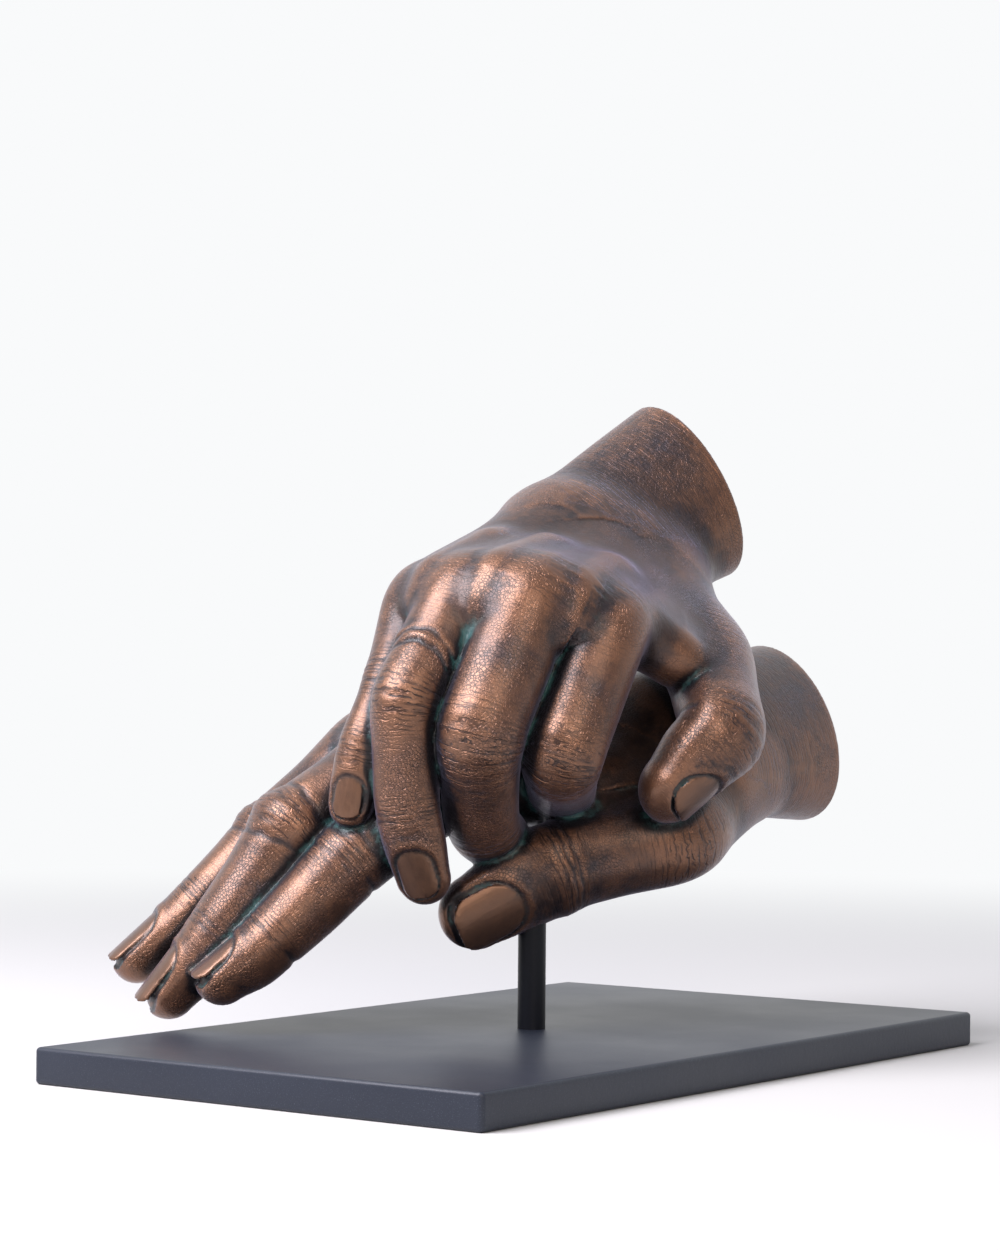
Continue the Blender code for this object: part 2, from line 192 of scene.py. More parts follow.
# Powder coat again, near black and without the grain: a smooth satin skin that
# shows only a thin streak of light along the rod.
rod_coat, tree, shader = new_material("powder_coat_black_blue")
place = add_node(tree, "ShaderNodeTexCoord").outputs["Object"]
peel = add_node(tree, "ShaderNodeTexNoise", [("Vector", place)], in_Scale=1100.0, in_Detail=2.0)
tone = add_node(tree, "ShaderNodeMix", [("Factor", peel.outputs[0])], data_type="RGBA",
                in_6=to_linear("0e1016"), in_7=to_linear("14161d"))
tree.links.new(tone.outputs[2], shader.inputs["Base Color"])
relief = add_node(tree, "ShaderNodeBump", [("Height", peel.outputs[0])],
                  in_Strength=0.25, in_Distance=0.00015)
tree.links.new(relief.outputs[0], shader.inputs["Normal"])
shader.inputs["Roughness"].default_value = 0.38
shader.inputs["Specular IOR Level"].default_value = 0.20
rod.data.materials.append(rod_coat)
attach(rod, "root")
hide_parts("stand_rod")


# The casting. Two right hands taken from life in one mould and cast as one
# piece, in bronze or a bronze-filled resin, and sawn off flat through the
# forearms. The rod's upper end sits in a blind socket in its underside.

# Its skin is the zero level of a distance to limbs. Lengths are millimetres in
# the hands' own frame: x to the right as seen from the front, y away, and z up
# from the plate's top.
hands_turn = math.radians(-53.8)
plate_top = 10.0
wrist_blend = 18.0
palm_blend = 9.0
finger_blend = 1.1
web_reach = 22.0
web_depth = 4.5
touch_blend = 1.0
rim_rounding = 1.2
forearm_width = 30.0
forearm_thickness = 21.5

# For each limb: its joints, its half widths at them, and the direction across
# it at its root and at its tip. For the forearm, saw is the way the cut faces.
upper_hand = {
    "forearm": [(48, 77, 159), (22, 58, 143)],
    "forearm_side": ((0.55, -0.05, -0.83), (0.82, -0.28, -0.48)),
    "saw": (0.76, 0.54, 0.36),
    "index": ([(36, 42, 128), (21, -11, 117), (7.5, -23, 78), (8, 2, 69), (6, 24, 57)],
              (10.2, 12.1, 11.7, 10.4, 7.8), (0.84, -0.28, -0.40), (0.94, -0.23, -0.24)),
    "middle": ([(27, 44, 135), (-0.5, -17, 125), (-16, -29, 84), (-15, -11, 58), (-6, 12, 48)],
               (10.5, 12.4, 12.6, 10.8, 8.2), (0.84, -0.30, -0.35), (0.97, 0.05, -0.15)),
    "ring": ([(16, 46, 141), (-20, -9, 127), (-37, -26, 94), (-36, -24, 63), (-31, -20, 44)],
             (10.0, 10.8, 9.9, 9.4, 7.6), (0.86, -0.38, -0.20), (0.97, -0.22, -0.10)),
    "little": ([(6, 49, 147), (-34.5, 5, 125), (-41, -11, 99), (-49, -17, 80), (-52, -18, 64)],
               (9.5, 9.2, 7.9, 7.6, 6.2), (0.85, -0.50, -0.10), (0.95, -0.28, -0.10)),
    "thumb": ([(40, 56, 131), (53, 25, 107), (54.5, -3, 85), (41, -6, 70)],
              (14.5, 13.6, 13.8, 11.0), (0.45, 0.70, -0.55), (0.34, 0.86, -0.37)),
}
lower_hand = {
    "forearm": [(79, 84, 84), (55, 53, 82)],
    "forearm_side": ((0.25, -0.50, -0.83), (0.36, -0.68, -0.64)),
    "saw": (0.72, 0.69, 0.02),
    "index": ([(47, 35, 70), (-22, 0, 74), (-53, -12, 48), (-74, -18, 27), (-88, -20, 16)],
              (10.5, 12.4, 11.6, 10.2, 8.1), (0.31, -0.78, -0.52), (0.46, -0.88, 0.04)),
    "middle": ([(44, 43, 77), (-40, 13, 79), (-70, -4, 56), (-90, -10, 28), (-104, -10, 11)],
               (10.5, 12.4, 12.3, 10.3, 8.2), (0.33, -0.82, -0.46), (0.40, -0.90, 0.02)),
    "ring": ([(40, 52, 84), (-47, 33, 83), (-78, 16, 53), (-96, 8, 35), (-115, 7, 19)],
             (10.0, 11.4, 10.6, 9.6, 7.7), (0.36, -0.86, -0.38), (0.38, -0.92, 0.02)),
    "little": ([(36, 60, 91), (-44, 51, 83), (-67, 38, 59), (-78, 36, 45), (-86, 36, 34)],
               (9.5, 10.0, 8.7, 7.8, 6.3), (0.38, -0.88, -0.30), (0.38, -0.92, 0.02)),
    "thumb": ([(61, 44, 70), (44, 10, 54.5), (7, 0, 47), (-16, -7, 34)],
              (13.5, 13.4, 13.8, 10.8), (0.35, 0.35, -0.85), (0.29, 0.37, -0.85)),
}


def unit(v):
    """Rows of v scaled to length one."""
    v = np.asarray(v, float)
    return v / np.linalg.norm(v, axis=-1, keepdims=True)


def bell(x, width):
    """A smooth hump of height one round zero: exp(-(x / width)^2)."""
    return np.exp(-(x / width) ** 2)


def ease(x, low, high):
    """Smooth step from 0 at low to 1 at high."""
    t = np.clip((x - low) / (high - low), 0.0, 1.0)
    return t * t * (3.0 - 2.0 * t)


def rounded_path(points, rounding, step):
    """Straight runs between the points with each corner turned into a parabola.

    Returns even samples, their tangents, their arc length and the arc length
    at which each given point is passed.
    """
    points = np.asarray(points, float)
    pieces = [points[:1]]
    for before, corner, after in zip(points[:-2], points[1:-1], points[2:]):
        into, out = corner - before, after - corner
        reach = min(rounding, 0.42 * np.linalg.norm(into), 0.42 * np.linalg.norm(out))
        start = corner - unit(into) * reach
        end = corner + unit(out) * reach
        t = np.linspace(0.0, 1.0, 9)[:, None]
        pieces.append((1 - t) ** 2 * start + 2 * t * (1 - t) * corner + t ** 2 * end)
    pieces.append(points[-1:])
    line = np.vstack(pieces)
    length = np.concatenate([[0.0], np.cumsum(np.linalg.norm(np.diff(line, axis=0), axis=1))])
    s = np.linspace(0.0, length[-1], int(length[-1] / step) + 2)
    samples = np.stack([np.interp(s, length, line[:, axis]) for axis in range(3)], axis=1)
    tangents = unit(np.gradient(samples, s, axis=0))
    passed = [s[np.argmin(np.linalg.norm(samples - p, axis=1))] for p in points]
    return samples, tangents, s, np.array(passed)


def eased(s, stations, values, spread):
    """Values interpolated between stations, then averaged along s with the
    weights of a bell curve whose standard deviation is the spread."""
    raw = np.interp(s, stations, values)
    reach = int(3 * spread / (s[1] - s[0]))
    kernel = np.exp(-0.5 * (np.arange(-reach, reach + 1) * (s[1] - s[0]) / spread) ** 2)
    padded = np.pad(raw, reach, mode="edge")
    return np.convolve(padded, kernel / kernel.sum(), mode="valid")


class Limb:
    """An oval profile carried along a path, closed by an oval cap at each end.

    The profile has its own half width and half thickness, on the back and on
    the palm side, at each sample. blend is how far it runs into a neighbour.
    relief adds height in millimetres from the place along and round the limb.
    nose is how far the caps stand out.
    """

    def __init__(self, points, stations, width, back, palm, blend, sides, nose):
        self.path, self.tangent, self.s, self.joints = rounded_path(points, 8.0, 1.0)
        at = np.interp(stations, np.arange(len(self.joints)), self.joints)
        self.width = eased(self.s, at, width, 2.5)
        self.back = eased(self.s, at, back, 2.5)
        self.palm = eased(self.s, at, palm, 2.5)
        self.blend = np.interp(self.s, [b[0] + self.joints[b[1]] for b in blend],
                               [b[2] for b in blend])
        share = (self.s / self.s[-1])[:, None]
        side = (1 - share) * np.asarray(sides[0], float) + share * np.asarray(sides[1], float)
        side -= (side * self.tangent).sum(1, keepdims=True) * self.tangent
        self.side = unit(side)
        self.normal = np.cross(self.tangent, self.side)
        self.nose = nose
        self.reach = max(self.width.max(), self.back.max(), self.palm.max()) + 12.0
        self.nail = None
        self.creases = []
        self.relief = None
        self.saw = None

    def locate(self, p):
        """The nearest sample, and the place across, up and beyond the ends.

        The nearest sample has the least |sample|^2 / 2 - sample . point.
        """
        near = np.empty(len(p), int)
        path, light = self.path.astype(np.float32), p.astype(np.float32)
        half_square = 0.5 * (path ** 2).sum(1)
        batch = 4096
        for first in range(0, len(p), batch):
            part = slice(first, first + batch)
            near[part] = np.argmin(half_square - light[part] @ path.T, axis=1)
        q = p - self.path[near]
        along = (q * self.tangent[near]).sum(1)
        past_tip = np.where(near == len(self.s) - 1, np.maximum(along, 0.0), 0.0)
        past_root = np.where(near == 0, np.minimum(along, 0.0), 0.0)
        u = (q * self.side[near]).sum(1)
        v = (q * self.normal[near]).sum(1)
        return near, u, v, past_tip + past_root, along

    def measure(self, p):
        """Radial distance to the surface, and the blend, at the points p.

        rho is one on the oval, so along the ray from the path the surface lies
        at size / rho, and the distance is size - size / rho.
        """
        near, u, v, w, along = self.locate(p)
        thick = np.where(v > 0, self.back[near], self.palm[near])
        rho = np.sqrt((u / self.width[near]) ** 2 + (v / thick) ** 2 + (w / self.nose) ** 2)
        size = np.sqrt(u * u + v * v + w * w)
        least = np.minimum(self.width[near], thick)
        distance = np.where(rho > 0.05, size - size / np.maximum(rho, 0.05), -least)
        if self.saw:
            place, facing = self.saw
            beyond = (p - place) @ facing
            rounding = np.maximum(rim_rounding - np.abs(beyond - distance), 0.0) ** 2
            distance = np.maximum(distance, beyond) + rounding / (4.0 * rim_rounding)
        t = self.s[near] + along
        if self.relief:
            distance = distance - self.relief(t, u, v)
        if self.nail:
            distance = np.minimum(distance, self.nail_plate(t, u, v))
        return distance, self.blend[near]

    def size_at(self, t):
        """Half width and half thickness of the back at the arc lengths t."""
        return np.interp(t, self.s, self.width), np.interp(t, self.s, self.back)

    def nail_rim(self, t, u):
        """Distance outside the nail's outline, seen from above.

        The outline is a rectangle with rounded corners, wide ones at the root
        and tighter ones at the free edge: the distance to the box of the
        corners' centres, less the corner's radius.
        """
        start, end, half = self.nail
        middle, long = 0.5 * (start + end), 0.5 * (end - start)
        corner = half * np.where(t < middle, 0.92, 0.72)
        x, y = np.abs(t - middle) - (long - corner), np.abs(u) - (half - corner)
        outside = np.hypot(np.maximum(x, 0), np.maximum(y, 0))
        return outside + np.minimum(np.maximum(x, y), 0) - corner

    def nail_plate(self, t, u, v):
        """Distance to a nail: a plate 0.8 mm thick that is straight along the
        finger and arched across it like the finger's own back.

        It is the larger of the distance to the plate's two faces and the
        distance to its outline, rounded where both are outside.
        """
        start, end, half = self.nail
        width, back = self.size_at(np.array([start, self.s[-1]]))
        share = np.clip((t - start) / (end - start), -0.1, 1.1)
        line = (1 - share) * (back[0] - 0.50) + share * (back[1] * self.nail_lift)
        across = np.clip(u / (width[0] + share * (width[1] - width[0])), -0.93, 0.93)
        top = line * np.sqrt(1.0 - across ** 2)
        thick = np.abs(v - top + 0.3) * np.sqrt(1.0 - 0.75 * across ** 2) - 0.4
        rim = self.nail_rim(t, u) + 0.15
        outside = np.hypot(np.maximum(thick, 0), np.maximum(rim, 0))
        return outside + np.minimum(np.maximum(thick, rim), 0)

    def skin_folds(self, t, u, v):
        """Heights on a ray: swellings, folds across it, tendon and nail bed.

        A fold is a bell-shaped groove on the back or the palm side. Folds on
        the back bow away from their joint's middle.
        """
        width, back = self.size_at(t)
        rise = v / back / np.sqrt((u / width) ** 2 + (v / back) ** 2 + 1e-6)
        over, under = ease(rise, -0.25, 0.55), ease(-rise, 0.0, 0.6)
        bow = 1.0 - 0.30 * (u / width) ** 2
        height = np.zeros(len(t))
        for joint, place, lift, spread in self.swells:
            height += lift * bell(t - self.joints[joint] - place, spread) * ease(rise, -0.5, 0.5)
        for joint, place, depth, spread in self.folds:
            r = t - self.joints[joint] - place * bow + 0.25 * np.sin(0.9 * u + 2.0 * place)
            height -= depth * bell(r, spread) * over
        for joint in range(2, len(self.joints) - 1):
            height -= 0.5 * bell(t - self.joints[joint], 1.0) * under
        if self.tendon:
            here = ease(t, 0.25 * self.joints[1], 0.6 * self.joints[1])
            here *= 1.0 - ease(t, 0.85 * self.joints[1], 1.05 * self.joints[1])
            height += self.tendon * bell(u - 0.6 * np.sin(t * 0.12), 2.3) * here * over
        if self.nail:
            end = self.nail[1]
            rim = self.nail_rim(t, u)
            on_back = ease(rise, 0.05, 0.3)
            before_edge = 1.0 - ease(t, end - 4.5, end - 1.5)
            height += 0.35 * bell(rim - 1.9, 1.5) * before_edge * on_back
            height -= 0.45 * bell(rim - 0.35, 0.55) * before_edge * on_back
            height -= (0.60 + 0.35 * (1.0 - before_edge)) * (1.0 - ease(rim, -0.6, 0.5)) * on_back
        return height


def finger(pose, marks):
    """One ray of the hand, from the carpus through the palm to the fingertip.

    Stations count the joints, and the sizes at them are shares of the half
    widths that are given for the root, knuckle, middle and end joint and tip.
    """
    points, widths, side_root, side_tip = pose
    root, knuckle, middle, end, tip = widths
    stations = [0, 0.5, 0.85, 1, 1.5, 2, 2.5, 3, 3.5, 4]
    width = [root, root * 0.95, knuckle * 0.95, knuckle * 1.02, (knuckle + middle) * 0.51,
             middle, (middle + end) * 0.48, end, end * 0.95, tip]
    back = [root * 0.80, root * 0.78, knuckle * 0.82, knuckle * 0.98, middle * 0.90, middle * 0.98,
            end * 0.95, end * 0.88, end * 0.74, tip * 0.76]
    palm = [root * 1.45, root * 1.45, knuckle * 1.3, knuckle * 1.18, middle * 1.05, middle * 0.97,
            end * 1.10, end * 0.98, end * 1.02, tip * 0.98]
    web = marks.get("web", web_reach)
    blend = [(0.0, 0, wrist_blend), (-web, 1, palm_blend), (0.0, 1, palm_blend),
             (0.55 * web, 1, palm_blend * 0.8), (web, 1, finger_blend)]
    limb = Limb(points, stations, width, back, palm, blend, (side_root, side_tip), tip)
    reach, limb.nail_lift = marks.get("nail", (0.62, 0.90))
    limb.nail = (limb.joints[4] - 0.50 * (limb.joints[4] - limb.joints[3]),
                 limb.s[-1] + reach * tip, 0.70 * tip)
    limb.tendon = 0.3
    limb.folds = [(2, -3.2, 0.18, 0.7), (2, 0.2, 0.22, 0.7), (2, 3.4, 0.18, 0.7),
                  (3, -1.0, 0.16, 0.6), (3, 1.4, 0.16, 0.6)] + marks.get("folds", [])
    limb.swells = [(2, 0.0, 0.5, 4.5)] + marks.get("swells", [])
    limb.creases = [(1, 9.0, 0.35), (2, 8.0, 1.0), (3, 4.5, 0.9)]
    limb.relief = limb.skin_folds
    return limb


def thumb(pose, marks):
    """The thumb with the ball of the hand round its first bone, made as a
    finger is, from its root, knuckle, end joint and tip."""
    points, widths, side_root, side_tip = pose
    root, knuckle, end, tip = widths
    stations = [0, 0.5, 1, 1.5, 2, 2.5, 3]
    width = [root, root * 1.0, knuckle, (knuckle + end) * 0.475, end, end * 0.98, tip]
    back = [root * 0.8, root * 0.72, knuckle * 0.92, end * 0.88, end * 0.92, end * 0.72, tip * 0.72]
    palm = [root * 1.0, root * 1.15, knuckle * 1.1, end * 0.98, end * 0.86, end * 0.92, tip * 0.92]
    blend = [(0.0, 1, palm_blend), (0.5 * web_reach, 1, palm_blend * 0.8),
             (1.1 * web_reach, 1, finger_blend)]
    limb = Limb(points, stations, width, back, palm, blend, (side_root, side_tip), tip * 1.05)
    reach, limb.nail_lift, half = marks.get("nail", (0.60, 0.92, 0.76))
    limb.nail = (limb.joints[3] - 0.42 * (limb.joints[3] - limb.joints[2]),
                 limb.s[-1] + reach * tip, half * tip)
    limb.tendon = 0.0
    limb.folds = [(2, -3.4, 0.25, 0.7), (2, -0.8, 0.30, 0.7), (2, 1.8, 0.25, 0.7)]
    limb.folds += marks.get("folds", [])
    limb.creases = [(1, 12.0, 1.0), (2, 7.5, 1.0)]
    limb.swells = marks.get("swells", [])
    limb.relief = limb.skin_folds
    return limb


def plain(points, width, back, palm, sides):
    """A limb whose size changes evenly from its first point to its last."""
    ends = [0, len(points) - 1]
    return Limb(points, ends, width, back, palm, [(0.0, 0, palm_blend)], sides, min(back))


def hand(pose, marks):
    """All the limbs of one hand: forearm, four rays, thumb, the web between
    thumb and index finger, the heel, and the webs between the knuckles."""
    cut, wrist = (np.array(p, float) for p in pose["forearm"])
    beyond = cut + unit(cut - wrist) * 14.0
    into = wrist + unit(wrist - cut) * 16.0
    wide, deep = forearm_width, forearm_thickness
    forearm = plain([beyond, cut, wrist, into], (wide * 1.03, wide * 0.84),
                    (deep * 1.04, deep * 0.74), (deep * 1.04, deep * 0.74), pose["forearm_side"])
    forearm.saw = cut, unit(pose["saw"])
    forearm.blend = np.full(len(forearm.s), wrist_blend)
    forearm.creases = [(2, 16.0, 0.9), (1, 30.0, 0.35)]
    limbs = [forearm] + [finger(pose[name], marks.get(name, {}))
                         for name in ("index", "middle", "ring", "little")]
    limbs.append(thumb(pose["thumb"], marks.get("thumb", {})))
    joints = {name: np.array(pose[name][0], float) for name in ("index", "little", "thumb")}
    base, knuckle = joints["index"][0], joints["index"][1]
    ball, thumb_knuckle = joints["thumb"][0], joints["thumb"][1]
    web_end = 0.55 * thumb_knuckle + 0.45 * knuckle
    web_end += 5.0 * unit(joints["thumb"][2] - thumb_knuckle)
    web_side = unit(knuckle - thumb_knuckle)
    web_thick = marks.get("first_web", 6.0)
    limbs.append(plain([0.5 * (base + ball), web_end], (9.0, 16.5), (11.0, web_thick),
                       (11.0, web_thick), (web_side, web_side)))
    heel, edge = joints["little"][0], joints["little"][1]
    down = np.cross(unit(edge - heel), unit(pose["little"][2]))
    start = heel - 6.0 * down + 0.05 * (edge - heel)
    limbs.append(plain([start, heel + 0.72 * (edge - heel) - 7.0 * down], (13.5, 11.0),
                       (13.0, 10.0), (13.0, 10.0), (pose["little"][2], pose["little"][2])))
    for one, other in (("index", "middle"), ("middle", "ring"), ("ring", "little")):
        rays = [np.array(pose[name][0][:3], float) for name in (one, other)]
        base, knuckle, joint = 0.5 * (rays[0] + rays[1])
        across = rays[0][1] - rays[1][1]
        thick = 0.5 * (pose[one][1][1] + pose[other][1][1])
        limbs.append(plain([knuckle + 0.4 * (base - knuckle), knuckle,
                            knuckle + web_depth * unit(joint - knuckle)],
                           (thick * 0.55, thick * 0.5), (thick * 0.94, thick * 0.80),
                           (thick * 1.0, thick * 0.8), (across, across)))
    return limbs


def union(limbs, p, start):
    """Smoothed union of the limbs' distances at the points p.

    Two distances a and b join as min(a, b) - (k - |a - b|)^2 / 4k, where k is
    how far these two limbs run into each other.
    """
    total = np.full(len(p), 40.0)
    soft = np.full(len(p), start)
    for limb in limbs:
        low = limb.path.min(0) - limb.reach
        high = limb.path.max(0) + limb.reach
        inside = np.flatnonzero(((p > low) & (p < high)).all(1))
        if not len(inside):
            continue
        distance, blend = limb.measure(p[inside])
        before = total[inside]
        k = np.maximum(np.minimum(soft[inside], blend), 0.05)
        dip = np.maximum(k - np.abs(before - distance), 0.0) ** 2 / (4.0 * k)
        soft[inside] = np.where(distance < before, blend, soft[inside])
        total[inside] = np.minimum(before, distance) - dip
    return total


# Folds and swellings that single out these two hands: the joint, the place
# past it, the depth or height and the spread. nail is how far the nail reaches
# past the last joint and how high its edge lifts, for a thumb also its half
# width, as shares of the tip's size.
upper_marks = {
    "ring": {"folds": [(2, -18.6, 0.50, 0.8), (2, -14.2, 0.50, 0.8)],
             "swells": [(2, -16.4, 0.6, 1.9)]},
    "middle": {"folds": [(2, 7.0, 0.16, 0.8), (2, 10.4, 0.12, 0.8)]},
    "index": {"web": 13.0},
    "thumb": {"swells": [(2, 0.0, 1.2, 5.0)]},
    "first_web": 9.0,
}
lower_marks = {
    "middle": {"nail": (0.95, 1.0), "folds": [(2, -7.6, 0.45, 0.9), (2, 7.4, 0.45, 0.9)],
               "swells": [(2, 0.0, 1.5, 4.6)]},
    "ring": {"nail": (0.85, 0.95), "folds": [(2, -6.4, 0.35, 0.8), (2, 6.0, 0.3, 0.8)],
             "swells": [(2, 0.0, 0.7, 4.0)]},
    "index": {"nail": (0.85, 0.95), "folds": [(2, -8.0, 0.30, 0.8)]},
    "thumb": {"nail": (0.88, 1.00, 0.80), "swells": [(2, 1.0, 0.9, 5.0)]},
}
hands = [hand(upper_hand, upper_marks), hand(lower_hand, lower_marks)]


def skin_distance(p):
    """Distance to the casting's skin at the points p, negative inside."""
    above = union(hands[0], p, wrist_blend)
    below = union(hands[1], p, wrist_blend)
    dip = np.maximum(touch_blend - np.abs(above - below), 0.0) ** 2 / (4.0 * touch_blend)
    return np.minimum(above, below) - dip


def level_skin(block, split):
    """Points and quads of the zero level of skin_distance.

    The distance is first taken on a coarse grid of block-sized cells, and then
    again on split^3 points in each cell that lies near the skin.
    """
    limbs = hands[0] + hands[1]
    low = np.min([limb.path.min(0) - limb.reach for limb in limbs], axis=0)
    high = np.max([limb.path.max(0) + limb.reach for limb in limbs], axis=0)
    count = np.ceil((high - low) / block).astype(int) + 1
    cell = np.stack(np.meshgrid(*[np.arange(n) for n in count], indexing="ij"), -1).reshape(-1, 3)
    coarse = skin_distance(low + block * (cell + 0.5))
    near = np.flatnonzero(np.abs(coarse) < 1.4 * block)
    fine = np.repeat(coarse.reshape(count), split, 0).repeat(split, 1).repeat(split, 2)
    fine = np.clip(fine, -8.0, 8.0).astype(np.float32)
    part = np.stack(np.meshgrid(*[np.arange(split)] * 3, indexing="ij"), -1).reshape(-1, 3)
    step = block / split
    for some in np.array_split(near, max(1, len(near) // 3000)):
        index = (cell[some][:, None, :] * split + part[None]).reshape(-1, 3)
        fine[tuple(index.T)] = skin_distance(low + step * (index + 0.5))
    grid = openvdb.FloatGrid(8.0)
    grid.copyFromArray(fine)
    points, quads = grid.convertToQuads(0.0)
    return low + step * (points + 0.5), quads


def main_skin(points, quads):
    """The largest connected piece of a skin, without the specks that stay shut
    in where two fingers touch.

    Points are numbered, and each takes the least number among its neighbours',
    over and over, until all the points of a piece share one number.
    """
    pair = np.concatenate([quads[:, [0, 1]], quads[:, [1, 2]], quads[:, [2, 3]]]).astype(np.int64)
    number = np.arange(len(points))
    settled = False
    while not settled:
        least = number.copy()
        low = np.minimum(number[pair[:, 0]], number[pair[:, 1]])
        for end in (pair[:, 0], pair[:, 1]):
            np.minimum.at(least, end, low)
            np.minimum.at(least, number[end], low)
        least = least[least]
        settled = (least == number).all()
        number = least
    kept = number == np.bincount(number).argmax()
    renumbered = np.cumsum(kept) - 1
    return points[kept], renumbered[quads[kept[quads[:, 0]]]]


def to_world(p):
    """From the hands' frame in millimetres to the scene's metres."""
    c, s = math.cos(hands_turn), math.sin(hands_turn)
    turned = p @ np.array([[c, s, 0.0], [-s, c, 0.0], [0.0, 0.0, 1.0]])
    return (turned + np.array([0.0, 0.0, plate_top])) * 0.001


coarse_cell, cell_split = 4.0, 7
points, quads = main_skin(*level_skin(coarse_cell, cell_split))
mesh = bpy.data.meshes.new("skin")
mesh.from_pydata(to_world(points).tolist(), [], quads.tolist())
casting = bpy.data.objects.new("casting", mesh)
scene.collection.objects.link(casting)
triangle_aim = 194000
thin = casting.modifiers.new("thin", "DECIMATE")
thin.ratio = min(1.0, triangle_aim / (2.0 * len(mesh.polygons)))
thinned = casting.evaluated_get(bpy.context.evaluated_depsgraph_get())
settled = bpy.data.meshes.new_from_object(thinned)
casting.modifiers.clear()
casting.data = settled
settled.shade_smooth()


def vertex_array(mesh, name, count=3):
    """A vertex property of the mesh as rows."""
    flat = np.empty(len(mesh.vertices) * count, np.float32)
    mesh.vertices.foreach_get(name, flat)
    return flat.reshape(-1, count).astype(float)


def from_world(p, turned_only=False):
    """From the scene's metres to the hands' frame in millimetres."""
    c, s = math.cos(hands_turn), math.sin(hands_turn)
    moved = p if turned_only else p * 1000.0 - np.array([0.0, 0.0, plate_top])
    return moved @ np.array([[c, -s, 0.0], [s, c, 0.0], [0.0, 0.0, 1.0]])


def skin_place(p):
    """For each point of the skin: its place along and round its limb, in
    millimetres, how strongly it creases there, and how much of a nail it is.

    The strength is a sum of bells round the joints, strongest on the back. The
    third place coordinate moves each limb to its own part of the patterns.
    """
    pattern_shift = 17.0
    least = np.full(len(p), 1e3)
    place, crease, nail = np.zeros((len(p), 3)), np.zeros(len(p)), np.zeros(len(p))
    for number, limb in enumerate(hands[0] + hands[1]):
        low = limb.path.min(0) - limb.reach
        high = limb.path.max(0) + limb.reach
        inside = np.flatnonzero(((p > low) & (p < high)).all(1))
        distance = limb.measure(p[inside])[0]
        own = distance < least[inside]
        inside = inside[own]
        least[inside] = distance[own]
        near, u, v, _, along = limb.locate(p[inside])
        t = limb.s[near] + along
        width, back = limb.size_at(t)
        angle = np.arctan2(u / width, v / back)
        round_limb = angle * 0.5 * (width + back)
        place[inside] = np.stack([t, round_limb, np.full(len(t), pattern_shift * number)], 1)
        over = 0.35 + 0.65 * ease(np.cos(angle), -0.2, 0.6)
        strength = np.zeros(len(t))
        for joint, spread, lift in limb.creases:
            strength += lift * bell(t - limb.joints[joint], spread)
        crease[inside] = np.clip(strength * over, 0.0, 1.0)
        nail[inside] = 0.0
        if limb.nail:
            nail[inside] = (1.0 - ease(limb.nail_rim(t, u), -0.5, 0.3)) * (v > 0.0)
    return place, crease, nail


def smoothed(mesh, values, rounds):
    """Values averaged with their neighbours' along the mesh's edges: in each
    round 0.35 of the own value and 0.65 of the neighbours' mean."""
    pair = np.empty(len(mesh.edges) * 2, np.int32)
    mesh.edges.foreach_get("vertices", pair)
    a, b = pair[0::2], pair[1::2]
    count = np.bincount(pair, minlength=len(values)).astype(float)[:, None]
    for _ in range(rounds):
        total = np.stack([np.bincount(a, values[b, i], len(values))
                          + np.bincount(b, values[a, i], len(values))
                          for i in range(values.shape[1])], axis=1)
        values = 0.35 * values + 0.65 * total / count
    return values


def paint(mesh, name, values):
    """Stores one value, or one vector, for each vertex."""
    kind, field = ("FLOAT", "value") if values.ndim == 1 else ("FLOAT_VECTOR", "vector")
    stored = mesh.attributes.new(name, kind, "POINT")
    stored.data.foreach_set(field, values.astype(np.float32).ravel())


# What the patina and the painted shade follow: crowded says how much skin stands
# in front of each point within three reaches, and relief how far it stands off
# its surroundings.
spot = from_world(vertex_array(settled, "co"))
facing = from_world(vertex_array(settled, "normal"), True)
place, crease, nail = skin_place(spot)
crowded = [1.0 - skin_distance(spot + reach * facing) / reach for reach in (1.2, 4.0, 10.0)]
# The hollow value is partly dark patina left in the hollows and partly painted shade: the more skin
# crowds in front of a point, the darker it is painted.
hollow_patina_and_shade = np.clip(0.55 * ease(crowded[0], 0.02, 0.5) + 0.5 * ease(crowded[1], 0.05, 0.7)
                 + 0.35 * ease(crowded[2], 0.15, 0.9), 0.0, 1.0)
relief_fine = ((spot - smoothed(settled, spot, 8)) * facing).sum(1)
relief_broad = ((spot - smoothed(settled, spot, 70)) * facing).sum(1)
raised = 0.6 * ease(relief_fine, -0.03, 0.15) + 0.4 * ease(relief_broad, -0.9, 1.6)
sunk = ease(-relief_fine, 0.02, 0.14)
verdigris = np.clip(sunk * (0.15 + 0.85 * ease(crowded[1], 0.05, 0.45))
                    + 0.15 * ease(crowded[0], 0.3, 0.9), 0.0, 1.0)
for name, values in (("place", place), ("crease", crease), ("nail", nail), ("hollow_patina_and_shade", hollow_patina_and_shade),
                     ("raised", raised), ("verdigris", verdigris)):
    paint(settled, name, values)

# The CAD skin's flat facets lie up to 0.7 mm inside this finer skin, which is
# therefore fitted to the CAD skin's box.
own = vertex_array(settled, "co")
box_low, box_high = (np.array(corner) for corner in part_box("cast_hands"))
fitted = box_low + (own - own.min(0)) * (box_high - box_low) / np.ptp(own, axis=0)
settled.vertices.foreach_set("co", fitted.astype(np.float32).ravel())
settled.update()

# Patinated bronze, cast, stained brown with hot acid salts, rubbed back and
# waxed: the raised skin shines copper under a soft waxy gloss, the hollows stay
# near black with dark patina and painted shade where skin crowds in, and
# blue-green verdigris is left in the folds.
bronze, tree, shader = new_material("patinated_bronze")


def painted(name, output="Fac"):
    """The value that is stored on the skin under this name."""
    return add_node(tree, "ShaderNodeAttribute", attribute_name=name).outputs[output]


